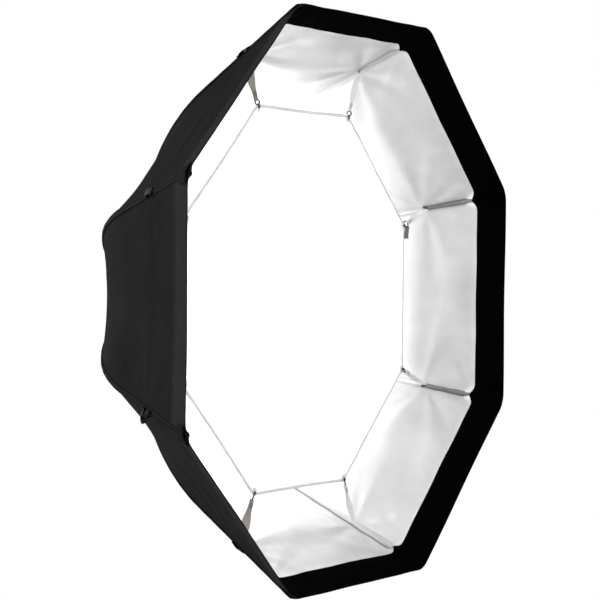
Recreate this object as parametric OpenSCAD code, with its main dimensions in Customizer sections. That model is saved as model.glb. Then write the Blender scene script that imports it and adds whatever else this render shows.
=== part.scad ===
// Octagonal studio softbox with folding ribs, in millimetres.
// The open front faces -Y, the light mount faces +Y, and +Z is up. The origin is the
// centre of the seat face of the rear mounting ring. Ribs are numbered 1 to 8 by azimuth,
// counted from +X towards +Z, with rib 1 at 22.5 degrees.
// Each eighth of the cover is two half panels: "a" on the increasing-azimuth side of its
// rib and "b" on the other side, so that the cover can pleat outwards between the ribs.

/* [Cover] */
// Front opening, corner to corner
corner_d = 1200; // [800:10:1500]
// Slope of the cover at the front edge, from the axis
front_slope = 30; // [20:1:40]
// Length of the straight front part of each rib line
front_run = 314; // [150:2:400]
// Slope of the cover at the hub, from the axis
rear_slope = 74; // [60:1:85]
// Length of the straight root part of each rib line
rear_run = 30; // [20:1:60]
// Corner radius of the cover's rear opening
rear_r = 90; // [80:1:120]
// Cloth thickness
cloth_t = 1; // [0.6:0.1:2]
// Deepest inward sag of a panel between two ribs
cloth_sag = 11; // [0:1:25]

/* [Ribs] */
// Rib rod radius
rib_r = 3; // [2:0.25:5]
// Distance of a rib's axis inside the cover
rib_inset = 6; // [4:0.25:8]
// Gap left between a rib's tip and the front edge
tip_gap = 9; // [4:1:20]
// Position of the hinge axes along Y
hinge_y = -19; // [-30:1:-15]
// Rod root to hinge axis
root_gap = 10; // [8:0.5:16]
// Hinge axis to the cover's rear opening, along the rib
hinge_run = 14; // [10:0.5:20]
// Hinge pin radius
pin_r = 2.5; // [1.5:0.1:4]
// Half width of a knuckle head
knuckle_w = 4.4; // [3:0.1:6]
// Knuckle barrel length from the hinge axis
knuckle_l = 30; // [20:1:40]

/* [Inner diffuser] */
// Corner radius of the inner diffuser
diff_r = 409; // [250:1:500]
// Distance of the inner diffuser behind the front plane
diff_depth = 150; // [80:1:250]
// Diffuser cloth thickness
diff_t = 1; // [0.6:0.1:2]
// Width of a strap
strap_w = 16; // [10:1:30]

/* [Ring] */
// Light opening radius
bore_r = 45; // [40:0.5:70]
// Bayonet neck outer radius
neck_r = 50; // [45:0.5:75]
// Bayonet neck height behind the seat
neck_h = 11; // [8:0.5:16]
// Lug outer radius
lug_r = 57; // [50:0.5:82]
// Mount disc radius
disc_r = 63; // [58:1:90]
// Mount disc thickness
disc_t = 3.5; // [2:0.5:6]
// Carrier barrel outer radius
barrel_r = 52; // [48:0.5:80]
// Carrier flange radius
flange_r = 66; // [60:1:95]
// Ring plate outer radius
plate_r = 84; // [78:1:110]
// Ring plate thickness
plate_t = 5; // [3:0.5:8]
// Lock knob grip radius
knob_r = 11; // [8:0.5:16]

/* [Hidden] */
$fn = 64;
sides = 8;
step = 360 / sides;
half = step / 2;
corner_r = corner_d / 2;
drop_arc = corner_r - rear_r - front_run * sin(front_slope) - rear_run * sin(rear_slope);
arc_r = drop_arc / (cos(front_slope) - cos(rear_slope));
arc_run = arc_r * (rear_slope - front_slope) * PI / 180;
line_run = front_run + arc_run + rear_run;
cover_depth = front_run * cos(front_slope) + arc_r * (sin(rear_slope) - sin(front_slope))
    + rear_run * cos(rear_slope);
rear_y = hinge_y - hinge_run * cos(rear_slope) + rib_inset * sin(rear_slope);
front_y = rear_y - cover_depth;
hinge_x = rear_r - hinge_run * sin(rear_slope) - rib_inset * cos(rear_slope);
diff_y = front_y + diff_depth;
strap_end = corner_r - diff_depth * tan(front_slope) - (rib_inset + rib_r + 0.6) / cos(front_slope);
steps_front = 6;
steps_arc = 9;
steps_s = steps_front + steps_arc + 1;
rod_steps = 14;
rod_sides = 12;
steps_f = 4;
inset_rib = 0.7;
inset_mid = 0.25;
flange_t = 3;
plate_y = -disc_t - flange_t - 0.5;
sleeve_front = plate_y - 16;
barrel_front = sleeve_front - 0.3;
liner_r = barrel_r + 0.1;
sleeve_bore = barrel_r + 2;
sleeve_r = 60;
ear_gap = knuckle_w + 0.4;
ear_t = 4;
knob_y = plate_y - 0.2;
screw_ring = 57;

// slope of the rib line at distance s from the front edge
function slope(s) = s < front_run ? front_slope
    : s < front_run + arc_run ? front_slope + (s - front_run) / arc_r * 180 / PI
    : rear_slope;
// radius of the cover's corner line at distance s from the front edge
function line_x(s) = s < front_run ? corner_r - s * sin(front_slope)
    : corner_r - front_run * sin(front_slope)
      - arc_r * (cos(front_slope) - cos(slope(s)))
      - max(0, s - front_run - arc_run) * sin(rear_slope);
// the same line's position along Y
function line_y(s) = s < front_run ? front_y + s * cos(front_slope)
    : front_y + front_run * cos(front_slope)
      + arc_r * (sin(slope(s)) - sin(front_slope))
      + max(0, s - front_run - arc_run) * cos(rear_slope);
// distance from the front edge at a step
function run_at(i) = i <= steps_front ? front_run * i / steps_front
    : i == steps_s ? line_run
    : front_run + arc_run * (i - steps_front) / steps_arc;
// share of the way from the rib to the panel's middle, kept clear of both neighbours
function share(s, j) =
    let (c = line_x(s) * sin(half))
    (inset_rib + (c - inset_rib - inset_mid) * j / steps_f) / c;
// a point of half panel "a" in its rib's own frame, d below the outer face
function cloth(s, j, d) =
    let (
        f = share(s, j),
        x = line_x(s),
        sag = cloth_sag * sin(180 * s / line_run) * f * (2 - f) + d,
        t = slope(s)
    )
    [
        x * (1 - f * pow(sin(half), 2)) - sag * cos(t) * cos(half),
        line_y(s) - sag * sin(t),
        f * x * cos(half) * sin(half) - sag * cos(t) * sin(half)
    ];
// distance from the front edge at each ring of a rib rod
function rod_run(i) = i == 0 ? tip_gap
    : i == rod_steps + 2 ? line_run + hinge_run - root_gap
    : front_run + arc_run * (i - 1) / rod_steps;
// a point on a rod's skin, b degrees round it from its outer side
function rod_point(s, b) =
    let (t = slope(s), d = rib_inset - rib_r * cos(b))
    [line_x(s) - d * cos(t), line_y(s) - d * sin(t), rib_r * sin(b)];
function rod_idx(i, k) = i * rod_sides + k % rod_sides;
function idx(i, j, k) = (k * (steps_s + 1) + i) * (steps_f + 1) + j;

// places its children at azimuth a: local +X points outwards, local +Z along the rim
module azimuth(a) {
    rotate([0, -a, 0])
        children();
}

module rib_azimuth(n) {
    azimuth(half + step * (n - 1))
        children();
}

// a tube between two positions along Y
module tube(r_out, r_in, y0, y1) {
    translate([0, y1, 0])
        rotate([90, 0, 0])
            difference() {
                cylinder(h = y1 - y0, r = r_out, $fn = 128);
                translate([0, 0, -1])
                    cylinder(h = y1 - y0 + 2, r = r_in, $fn = 128);
            }
}

// a rod along Y from y0 to y1 at radius x
module rod_y(x, r, y0, y1) {
    translate([x, y1, 0])
        rotate([90, 0, 0])
            cylinder(h = y1 - y0, r = r);
}

// a rod along local X
module rod_x(y, r, x0, x1) {
    translate([x0, y, 0])
        rotate([0, 90, 0])
            cylinder(h = x1 - x0, r = r);
}

// ---- light mount -------------------------------------------------------

module bayonet_lug() {
    translate([0, neck_h - 0.5, 0])
        rotate([90, 0, 0])
            rotate([0, 0, -13])
                rotate_extrude(angle = 26, $fn = 128)
                    translate([neck_r - 1, 0])
                        square([lug_r - neck_r + 1, 4]);
}

module mount_insert() {
    color("silver")
        difference() {
            union() {
                tube(neck_r, bore_r, 0, neck_h);
                tube(disc_r, bore_r, -disc_t, 0);
                for (a = [30, 150, 270])
                    azimuth(a)
                        bayonet_lug();
            }
            for (k = [0:3])
                azimuth(90 * k) {
                    rod_y(screw_ring, 2, -disc_t - 1, 1);
                    rod_y(screw_ring, 3.7, -2.2, 1);
                }
        }
}

module insert_screws() {
    color("gray")
        for (k = [0:3])
            azimuth(90 * k)
                difference() {
                    union() {
                        rod_y(screw_ring, 2, -disc_t - flange_t, -2.2);
                        rod_y(screw_ring, 3.5, -2.2, -0.2);
                    }
                    translate([screw_ring, 0, 0])
                        rotate([90, 0, 0])
                            cylinder(h = 1.4, r = 1.5, $fn = 6);
                }
}

module carrier_ring() {
    color("silver")
        difference() {
            union() {
                tube(flange_r, bore_r + 2, -disc_t - flange_t, -disc_t);
                tube(barrel_r, bore_r + 2, barrel_front, -disc_t - flange_t);
            }
            for (k = [0:3])
                azimuth(90 * k)
                    rod_y(screw_ring, 2, -disc_t - flange_t - 1, -disc_t + 1);
            for (k = [0:5])
                azimuth(60 * k)
                    rod_y(bore_r + 4.5, 1.25, barrel_front - 1, barrel_front + 9);
        }
}

module retainer_ring() {
    color("dimgray")
        difference() {
            tube(58, bore_r + 2, barrel_front - 3, barrel_front);
            for (k = [0:5])
                azimuth(60 * k)
                    rod_y(bore_r + 4.5, 1.25, barrel_front - 4, barrel_front + 1);
        }
}

module retainer_screws() {
    color("gray")
        for (k = [0:5])
            azimuth(60 * k)
                difference() {
                    union() {
                        rod_y(bore_r + 4.5, 1.25, barrel_front - 3, barrel_front + 8);
                        rod_y(bore_r + 4.5, 2.3, barrel_front - 5, barrel_front - 3);
                    }
                    translate([bore_r + 4.5, barrel_front - 3.8, 0])
                        rotate([90, 0, 0])
                            cylinder(h = 2, r = 1.2, $fn = 6);
                }
}

// ---- turning ring --------------------------------------------------------

module ear() {
    linear_extrude(ear_t)
        difference() {
            union() {
                translate([hinge_x - 7, hinge_y])
                    square([14, plate_y - plate_t - hinge_y + 1]);
                translate([hinge_x, hinge_y])
                    circle(r = 7);
            }
            translate([hinge_x, hinge_y])
                circle(r = pin_r);
        }
}

module speed_ring() {
    color("dimgray")
        difference() {
            union() {
                tube(plate_r, sleeve_bore, plate_y - plate_t, plate_y);
                tube(sleeve_r, sleeve_bore, sleeve_front, plate_y - plate_t);
                for (n = [1:sides])
                    rib_azimuth(n) {
                        translate([0, 0, ear_gap])
                            ear();
                        translate([0, 0, -ear_gap - ear_t])
                            ear();
                    }
                translate([sleeve_r - 3, plate_y - plate_t - 4, -7])
                    cube([plate_r - sleeve_r, plate_t + 3, 14]);
                rod_x(knob_y, 7, flange_r + 2, plate_r + 3);
            }
            for (n = [1:sides])
                rib_azimuth(n)
                    rod_y(hinge_x, 2.5, plate_y - plate_t - 1, plate_y + 1);
            rod_x(knob_y, 3.08, flange_r - 0.5, plate_r + 4);
            tube(flange_r + 1, 1, plate_y, plate_y + 8);
        }
}

module friction_liner() {
    color("ivory")
        tube(sleeve_bore, liner_r, sleeve_front + 0.2, plate_y - 0.2);
}

module hinge_pins() {
    color("silver")
        for (n = [1:sides])
            rib_azimuth(n)
                translate([hinge_x, hinge_y, 0]) {
                    translate([0, 0, -ear_gap - ear_t])
                        cylinder(h = 2 * (ear_gap + ear_t) + 1.5, r = pin_r);
                    translate([0, 0, -ear_gap - ear_t - 1.5])
                        cylinder(h = 1.5, r = 4);
                }
}

module detent_plungers() {
    color("gray")
        for (n = [1:sides])
            rib_azimuth(n)
                difference() {
                    union() {
                        rod_y(hinge_x, 2.5, plate_y - plate_t, plate_y + 1.2);
                        translate([hinge_x, hinge_y + 8.05, 0])
                            sphere(r = 1.75);
                    }
                    translate([hinge_x, plate_y + 2, 0])
                        rotate([90, 0, 0])
                            cylinder(h = 2.4, r = 1.3, $fn = 6);
                }
}

module rear_collar() {
    color("#202020")
        difference() {
            tube(plate_r + 2, plate_r, plate_y - plate_t - 2, plate_y + 1);
            translate([plate_r - 4, knob_y - 8, -8])
                cube([10, 16, 16]);
        }
}

module lock_knob() {
    color("#202020")
        difference() {
            union() {
                rod_x(knob_y, 6, plate_r + 4, plate_r + 15);
                rod_x(knob_y, knob_r, plate_r + 15, plate_r + 32);
            }
            for (k = [0:11])
                translate([plate_r + 14, knob_y, 0])
                    rotate([30 * k, 0, 0])
                        translate([0, knob_r + 0.6, 0])
                            rotate([0, 90, 0])
                                cylinder(h = 20, r = 1.8, $fn = 24);
            rod_x(knob_y, 3, plate_r + 3, plate_r + 24);
        }
}

module knob_stud() {
    color("silver")
        rod_x(knob_y, 3, flange_r + 0.4, plate_r + 24);
}

// ---- ribs ----------------------------------------------------------------

// a point of the hinge line: u out along the root, v rearwards from it
module at_root(u) {
    translate([hinge_x, hinge_y, 0])
        rotate([0, 0, rear_slope - 90])
            translate([u, 0, 0])
                children();
}

module knuckle(n) {
    color("dimgray")
        rib_azimuth(n)
            difference() {
                union() {
                    translate([hinge_x, hinge_y, -knuckle_w])
                        cylinder(h = 2 * knuckle_w, r = 6);
                    at_root(0)
                        rotate([0, 90, 0])
                            cylinder(h = knuckle_l, r = knuckle_w);
                }
                translate([hinge_x, hinge_y, -knuckle_w - 1])
                    cylinder(h = 2 * knuckle_w + 2, r = pin_r + 0.08);
                at_root(root_gap)
                    rotate([0, 90, 0])
                        cylinder(h = knuckle_l, r = rib_r);
            }
}

module rib(n) {
    last = rod_steps + 2;
    color("#303030")
        rib_azimuth(n)
            polyhedron(
                points = [
                    for (i = [0:last], k = [0:rod_sides - 1])
                        rod_point(rod_run(i), 360 * k / rod_sides)
                ],
                faces = concat(
                    [for (i = [0:last - 1], k = [0:rod_sides - 1])
                        [rod_idx(i, k), rod_idx(i, k + 1), rod_idx(i + 1, k)]],
                    [for (i = [0:last - 1], k = [0:rod_sides - 1])
                        [rod_idx(i + 1, k), rod_idx(i, k + 1), rod_idx(i + 1, k + 1)]],
                    [[for (k = [0:rod_sides - 1]) rod_idx(0, rod_sides - 1 - k)]],
                    [[for (k = [0:rod_sides - 1]) rod_idx(last, k)]]
                )
            );
}

// ---- cover and inner diffuser ---------------------------------------------

module half_panel() {
    polyhedron(
        points = [
            for (k = [0:1], i = [0:steps_s], j = [0:steps_f])
                cloth(run_at(i), j, k * cloth_t)
        ],
        faces = concat(
            [for (i = [0:steps_s - 1], j = [0:steps_f - 1])
                [idx(i, j, 0), idx(i, j + 1, 0), idx(i + 1, j, 0)]],
            [for (i = [0:steps_s - 1], j = [0:steps_f - 1])
                [idx(i + 1, j, 0), idx(i, j + 1, 0), idx(i + 1, j + 1, 0)]],
            [for (i = [0:steps_s - 1], j = [0:steps_f - 1])
                [idx(i, j, 1), idx(i + 1, j, 1), idx(i, j + 1, 1)]],
            [for (i = [0:steps_s - 1], j = [0:steps_f - 1])
                [idx(i + 1, j, 1), idx(i + 1, j + 1, 1), idx(i, j + 1, 1)]],
            [for (i = [0:steps_s - 1])
                [idx(i, 0, 0), idx(i + 1, 0, 0), idx(i, 0, 1)]],
            [for (i = [0:steps_s - 1])
                [idx(i + 1, 0, 0), idx(i + 1, 0, 1), idx(i, 0, 1)]],
            [for (i = [0:steps_s - 1])
                [idx(i, steps_f, 0), idx(i, steps_f, 1), idx(i + 1, steps_f, 0)]],
            [for (i = [0:steps_s - 1])
                [idx(i + 1, steps_f, 0), idx(i, steps_f, 1), idx(i + 1, steps_f, 1)]],
            [for (j = [0:steps_f - 1])
                [idx(0, j, 0), idx(0, j, 1), idx(0, j + 1, 0)]],
            [for (j = [0:steps_f - 1])
                [idx(0, j + 1, 0), idx(0, j, 1), idx(0, j + 1, 1)]],
            [for (j = [0:steps_f - 1])
                [idx(steps_s, j, 0), idx(steps_s, j + 1, 0), idx(steps_s, j, 1)]],
            [for (j = [0:steps_f - 1])
                [idx(steps_s, j + 1, 0), idx(steps_s, j + 1, 1), idx(steps_s, j, 1)]]
        )
    );
}

module panel_a(n) {
    color("#181818")
        rib_azimuth(n)
            half_panel();
}

module panel_b(n) {
    color("#181818")
        rib_azimuth(n)
            mirror([0, 0, 1])
                half_panel();
}

// webbing from the diffuser's corner to the rib, with its steel ring
module strap(n) {
    color("#303030")
        rib_azimuth(n) {
            translate([diff_r + 14, diff_y - 0.6, -strap_w / 2])
                cube([strap_end - diff_r - 14, 1.2, strap_w]);
            translate([diff_r + 8, diff_y, 0])
                rotate([90, 0, 0])
                    rotate_extrude()
                        translate([4.2, 0])
                            circle(r = 1, $fn = 24);
        }
}

module diffuser(n) {
    color("white")
        rib_azimuth(n)
            translate([0, diff_y + diff_t / 2, 0])
                rotate([90, 0, 0])
                    linear_extrude(diff_t)
                        polygon([
                            [0.8, 0],
                            [diff_r * pow(cos(half), 2) + 0.15, -diff_r * sin(half) * cos(half) + 0.5],
                            [diff_r, 0],
                            [diff_r * pow(cos(half), 2) + 0.15, diff_r * sin(half) * cos(half) - 0.5]
                        ]);
}

module knuckle_1() knuckle(1);
module rib_1() rib(1);
module panel_1a() panel_a(1);
module panel_1b() panel_b(1);
module strap_1() strap(1);
module diffuser_1() diffuser(1);
module knuckle_2() knuckle(2);
module rib_2() rib(2);
module panel_2a() panel_a(2);
module panel_2b() panel_b(2);
module strap_2() strap(2);
module diffuser_2() diffuser(2);
module knuckle_3() knuckle(3);
module rib_3() rib(3);
module panel_3a() panel_a(3);
module panel_3b() panel_b(3);
module strap_3() strap(3);
module diffuser_3() diffuser(3);
module knuckle_4() knuckle(4);
module rib_4() rib(4);
module panel_4a() panel_a(4);
module panel_4b() panel_b(4);
module strap_4() strap(4);
module diffuser_4() diffuser(4);
module knuckle_5() knuckle(5);
module rib_5() rib(5);
module panel_5a() panel_a(5);
module panel_5b() panel_b(5);
module strap_5() strap(5);
module diffuser_5() diffuser(5);
module knuckle_6() knuckle(6);
module rib_6() rib(6);
module panel_6a() panel_a(6);
module panel_6b() panel_b(6);
module strap_6() strap(6);
module diffuser_6() diffuser(6);
module knuckle_7() knuckle(7);
module rib_7() rib(7);
module panel_7a() panel_a(7);
module panel_7b() panel_b(7);
module strap_7() strap(7);
module diffuser_7() diffuser(7);
module knuckle_8() knuckle(8);
module rib_8() rib(8);
module panel_8a() panel_a(8);
module panel_8b() panel_b(8);
module strap_8() strap(8);
module diffuser_8() diffuser(8);

mount_insert();
insert_screws();
carrier_ring();
retainer_ring();
retainer_screws();
speed_ring();
friction_liner();
hinge_pins();
detent_plungers();
rear_collar();
lock_knob();
knob_stud();
knuckle_1();
knuckle_2();
knuckle_3();
knuckle_4();
knuckle_5();
knuckle_6();
knuckle_7();
knuckle_8();
rib_1();
rib_2();
rib_3();
rib_4();
rib_5();
rib_6();
rib_7();
rib_8();
panel_1a();
panel_1b();
panel_2a();
panel_2b();
panel_3a();
panel_3b();
panel_4a();
panel_4b();
panel_5a();
panel_5b();
panel_6a();
panel_6b();
panel_7a();
panel_7b();
panel_8a();
panel_8b();
strap_1();
strap_2();
strap_3();
strap_4();
strap_5();
strap_6();
strap_7();
strap_8();
diffuser_1();
diffuser_2();
diffuser_3();
diffuser_4();
diffuser_5();
diffuser_6();
diffuser_7();
diffuser_8();
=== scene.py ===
import math
import bmesh
import bpy
import numpy as np
from mathutils import Matrix, Vector


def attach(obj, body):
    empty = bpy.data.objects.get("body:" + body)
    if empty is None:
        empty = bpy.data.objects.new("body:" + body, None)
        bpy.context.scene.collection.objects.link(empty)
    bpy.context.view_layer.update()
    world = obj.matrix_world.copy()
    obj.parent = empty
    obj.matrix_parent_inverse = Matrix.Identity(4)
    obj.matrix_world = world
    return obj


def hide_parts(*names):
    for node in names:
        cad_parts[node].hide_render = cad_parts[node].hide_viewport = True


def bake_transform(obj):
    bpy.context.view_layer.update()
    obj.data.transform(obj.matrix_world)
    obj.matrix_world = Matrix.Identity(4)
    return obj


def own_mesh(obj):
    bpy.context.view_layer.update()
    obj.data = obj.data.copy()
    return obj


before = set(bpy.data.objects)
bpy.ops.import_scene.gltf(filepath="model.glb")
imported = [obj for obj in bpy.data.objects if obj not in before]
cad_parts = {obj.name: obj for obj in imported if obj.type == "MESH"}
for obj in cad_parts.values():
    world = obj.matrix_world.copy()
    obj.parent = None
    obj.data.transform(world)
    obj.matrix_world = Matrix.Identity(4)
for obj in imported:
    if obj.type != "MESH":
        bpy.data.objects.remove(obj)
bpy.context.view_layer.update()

# ---- sizes, in millimetres, as in part.scad --------------------------------
SIDES, STEP, HALF = 8, 45.0, 22.5
CORNER_R, FRONT_SLOPE, FRONT_RUN = 600.0, 30.0, 314.0
REAR_SLOPE, REAR_RUN, REAR_R = 74.0, 30.0, 90.0
SAG, RIB_R, RIB_INSET, TIP_GAP = 11.0, 3.0, 6.0, 9.0
HINGE_Y, ROOT_GAP, HINGE_RUN = -19.0, 10.0, 14.0
DIFF_R, DIFF_DEPTH = 409.0, 150.0
BAND = 64.0

# ---- sizes of what is only drawn here, s being the way along a rib from its front corner ----
CLOTH_THICK = 1.3
SLEEVE_FROM, SLEEVE_TO, LONG_SLEEVE_TO, SLEEVE_WIDE = 76, 173, 400, 15
CHANNEL_END, CHANNEL_WIDE = 45, 17
LOOP_S, LOOP_HALF, LOOP_WIDE = 176, 17, 13
STITCH_STEP, STITCH_RUN = 5.0, (0, 1.1, 2.2, 3.3)
TAPE_HALF = 8.0
STRAP_GAP, WEB_THICK = 0.6, 1.1
EDGE_EASE = 0.3

# ---- how the eight ribs differ: by rib number, and anything not listed is the common kind ----
LONG_SLEEVE, OPEN_LOOP, LOOSE_TAIL = 7, 5, 1
NARROW_SLEEVES, PAINTED_SHADE_STRAPS, THICK_PATCHES = (1, 8), (3, 6), (4, 5)
# sleeve cloth by rib: the grey sleeve colours are painted shade on the ridge over the rod; rib 2's is plain
# lining
SLEEVE_SHADE_CLOTH = {1: "grey_web_and_sleeve_shade", 2: "lining", 8: "grey_web_and_sleeve_shade"}
# dark cords along the sleeve's feet: painted crease shadow, lighter and thinner on rib 2
CREASE_SHADOW_CORD, CHANNEL_GAP = {2: "sleeve"}, {2: 1}
CREASE_SHADOW_CORD_R = {1: 1.0, 2: 0.55, 8: 1.0}

# ---- camera, floor and lights: metres, degrees and watts ----
# azimuth, elevation and roll; then backwards, right and up from the front's centre, in corner radii
CAMERA_TURN = (-54.53, 1.2316, 0.6257)
CAMERA_PLACE = (6.1984, -0.2103, 0.0030)
SENSOR, LENS = 36, 114.4
FLOOR_Z, FLOOR_HALF = -0.9, 30
AMBIENT = 0.2
# name, place, target, width of the disk and power
LIGHTS = (("key", (-0.6, -4.2, 2.4), (0, -0.3, 0), 1.6, 105),
          ("rear", (-0.4, 4.2, 0.8), (0, -0.2, 0), 1.6, 240),
          ("lamp", (0, -0.06, 0), (0, -1, 0), 0.08, 11))


def sin(d):
    return np.sin(np.radians(d))


def cos(d):
    return np.cos(np.radians(d))


ARC_R = ((CORNER_R - REAR_R - FRONT_RUN * sin(FRONT_SLOPE) - REAR_RUN * sin(REAR_SLOPE))
         / (cos(FRONT_SLOPE) - cos(REAR_SLOPE)))
ARC_RUN = ARC_R * np.radians(REAR_SLOPE - FRONT_SLOPE)
LINE = FRONT_RUN + ARC_RUN + REAR_RUN
DEPTH = (FRONT_RUN * cos(FRONT_SLOPE) + ARC_R * (sin(REAR_SLOPE) - sin(FRONT_SLOPE))
         + REAR_RUN * cos(REAR_SLOPE))
REAR_Y = HINGE_Y - HINGE_RUN * cos(REAR_SLOPE) + RIB_INSET * sin(REAR_SLOPE)
FRONT_Y = REAR_Y - DEPTH
DIFF_Y = FRONT_Y + DIFF_DEPTH
TAB_X = (CORNER_R - DIFF_DEPTH * math.tan(math.radians(FRONT_SLOPE))
         - (RIB_INSET + RIB_R + STRAP_GAP) / cos(FRONT_SLOPE))
MM = 0.001


def slope(s):
    s = np.asarray(s, float)
    return np.where(s < FRONT_RUN, FRONT_SLOPE,
                    np.where(s < FRONT_RUN + ARC_RUN,
                             FRONT_SLOPE + np.degrees((s - FRONT_RUN) / ARC_R), REAR_SLOPE))


def line_x(s):
    s = np.asarray(s, float)
    return np.where(s < FRONT_RUN, CORNER_R - s * sin(FRONT_SLOPE),
                    CORNER_R - FRONT_RUN * sin(FRONT_SLOPE)
                    - ARC_R * (cos(FRONT_SLOPE) - cos(slope(s)))
                    - np.maximum(0, s - FRONT_RUN - ARC_RUN) * sin(REAR_SLOPE))


def line_y(s):
    s = np.asarray(s, float)
    return np.where(s < FRONT_RUN, FRONT_Y + s * cos(FRONT_SLOPE),
                    FRONT_Y + FRONT_RUN * cos(FRONT_SLOPE)
                    + ARC_R * (sin(slope(s)) - sin(FRONT_SLOPE))
                    + np.maximum(0, s - FRONT_RUN - ARC_RUN) * cos(REAR_SLOPE))


def rib_angle(n):
    return HALF + STEP * (n - 1)


def turn(points, angle):
    """Local points (out, y, along the rim) to the row frame, in millimetres."""
    p = np.asarray(points, float)
    c, s = cos(angle), sin(angle)
    return np.stack([p[..., 0] * c - p[..., 2] * s, p[..., 1], p[..., 0] * s + p[..., 2] * c], -1)


def smooth(a, b, x):
    t = np.clip((np.asarray(x, float) - a) / (b - a), 0, 1)
    return t * t * (3 - 2 * t)


# ---- camera, floor and lights ----------------------------------------------
def aim_camera():
    """A camera placed from the centre of the open front, along its own directions."""
    azimuth, elevation, roll = np.radians(CAMERA_TURN)
    back = np.array([np.sin(azimuth) * np.cos(elevation), -np.cos(azimuth) * np.cos(elevation),
                     np.sin(elevation)])
    level = np.array([np.cos(azimuth), np.sin(azimuth), 0])
    rise = np.cross(back, level)
    right = np.cos(roll) * level + np.sin(roll) * rise
    up = -np.sin(roll) * level + np.cos(roll) * rise
    offset = CAMERA_PLACE[0] * back + CAMERA_PLACE[1] * right + CAMERA_PLACE[2] * up
    place = np.array([0, FRONT_Y * MM, 0]) + CORNER_R * MM * offset
    data = bpy.data.cameras.new("camera")
    data.sensor_width = SENSOR
    data.lens = LENS
    data.clip_end = 60
    cam = bpy.data.objects.new("camera", data)
    m = Matrix.Identity(4)
    for row in range(3):
        m[row] = right[row], up[row], back[row], place[row]
    cam.matrix_world = m
    bpy.context.collection.objects.link(cam)
    bpy.context.scene.camera = cam


def area_light(name, place, target, size, power):
    data = bpy.data.lights.new(name, "AREA")
    data.shape = "DISK"
    data.size = size
    data.energy = power
    o = bpy.data.objects.new(name, data)
    o.location = place
    o.rotation_euler = (Vector(target) - Vector(place)).to_track_quat("-Z", "Y").to_euler()
    bpy.context.collection.objects.link(o)


def white_to_camera(nt, shader, white, out):
    """Shows white to the camera and the shader to every other ray."""
    path = nt.nodes.new("ShaderNodeLightPath")
    mix = nt.nodes.new("ShaderNodeMixShader")
    nt.links.new(path.outputs["Is Camera Ray"], mix.inputs[0])
    nt.links.new(shader.outputs[0], mix.inputs[1])
    nt.links.new(white.outputs[0], mix.inputs[2])
    nt.links.new(mix.outputs[0], out.inputs[0])


def lay_floor():
    """A plain pale floor."""
    me = bpy.data.meshes.new("floor")
    h = FLOOR_HALF
    me.from_pydata([(x, y, FLOOR_Z) for x, y in ((-h, -h), (h, -h), (h, h), (-h, h))], [], [(0, 1, 2, 3)])
    o = bpy.data.objects.new("floor", me)
    bpy.context.collection.objects.link(o)
    m, nt, b, out = new_material("floor")
    b.inputs["Base Color"].default_value = (0.6, 0.6, 0.6, 1)
    b.inputs["Roughness"].default_value = 0.9
    glow = nt.nodes.new("ShaderNodeEmission")
    glow.inputs["Strength"].default_value = 1.0
    white_to_camera(nt, b, glow, out)
    me.materials.append(m)


def light_studio():
    """A weak white surround and the lamps."""
    world = bpy.data.worlds.new("studio")
    bpy.context.scene.world = world
    world.use_nodes = True
    nt = world.node_tree
    weak = nt.nodes["Background"]
    full = nt.nodes.new("ShaderNodeBackground")
    for background, strength in ((weak, AMBIENT), (full, 1.0)):
        background.inputs[0].default_value = (1, 1, 1, 1)
        background.inputs[1].default_value = strength
    white_to_camera(nt, weak, full, nt.nodes["World Output"])
    for light in LIGHTS:
        area_light(*light)
    bpy.context.scene.view_settings.view_transform = "Standard"


# ---- materials ---------------------------------------------------------------
def new_material(name):
    m = bpy.data.materials.new(name)
    m.use_nodes = True
    nt = m.node_tree
    nt.nodes.clear()
    out = nt.nodes.new("ShaderNodeOutputMaterial")
    b = nt.nodes.new("ShaderNodeBsdfPrincipled")
    nt.links.new(b.outputs[0], out.inputs[0])
    return m, nt, b, out


def coords(nt, scale=(1, 1, 1)):
    """Object coordinates, stretched."""
    tc = nt.nodes.new("ShaderNodeTexCoord")
    mp = nt.nodes.new("ShaderNodeMapping")
    mp.inputs["Scale"].default_value = scale
    nt.links.new(tc.outputs["Object"], mp.inputs["Vector"])
    return mp.outputs[0]


def uv_coords(nt, scale):
    """UVs in metres along the cloth, stretched."""
    tc = nt.nodes.new("ShaderNodeUVMap")
    tc.uv_map = "cloth"
    mp = nt.nodes.new("ShaderNodeMapping")
    mp.inputs["Scale"].default_value = scale
    nt.links.new(tc.outputs[0], mp.inputs["Vector"])
    return mp.outputs[0]


def vary_colour(nt, b, factor, low, high):
    """Base colour from low to high by a factor socket."""
    r = nt.nodes.new("ShaderNodeValToRGB")
    for element, position, colour in zip(r.color_ramp.elements, (0.3, 0.7), (low, high)):
        element.position = position
        element.color = (*colour, 1)
    nt.links.new(factor, r.inputs[0])
    nt.links.new(r.outputs[0], b.inputs["Base Color"])


def vary_roughness(nt, b, factor, low, high):
    """Roughness from low to high by a factor socket."""
    r = nt.nodes.new("ShaderNodeMapRange")
    r.inputs["To Min"].default_value = low
    r.inputs["To Max"].default_value = high
    nt.links.new(factor, r.inputs["Value"])
    nt.links.new(r.outputs[0], b.inputs["Roughness"])


def weave(nt, pitch):
    """A plain weave's height from two crossed waves on the cloth's own UVs, pitch in metres."""
    waves = []
    for way in ("X", "Y"):
        w = nt.nodes.new("ShaderNodeTexWave")
        w.bands_direction = way
        w.wave_profile = "SIN"
        w.inputs["Scale"].default_value = 1
        k = 2 * math.pi / 20 / pitch
        nt.links.new(uv_coords(nt, (k, k, k)), w.inputs["Vector"])
        waves.append(w.outputs["Fac"])
    mix = nt.nodes.new("ShaderNodeMath")
    mix.operation = "MAXIMUM"
    nt.links.new(waves[0], mix.inputs[0])
    nt.links.new(waves[1], mix.inputs[1])
    return mix.outputs[0]


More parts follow.
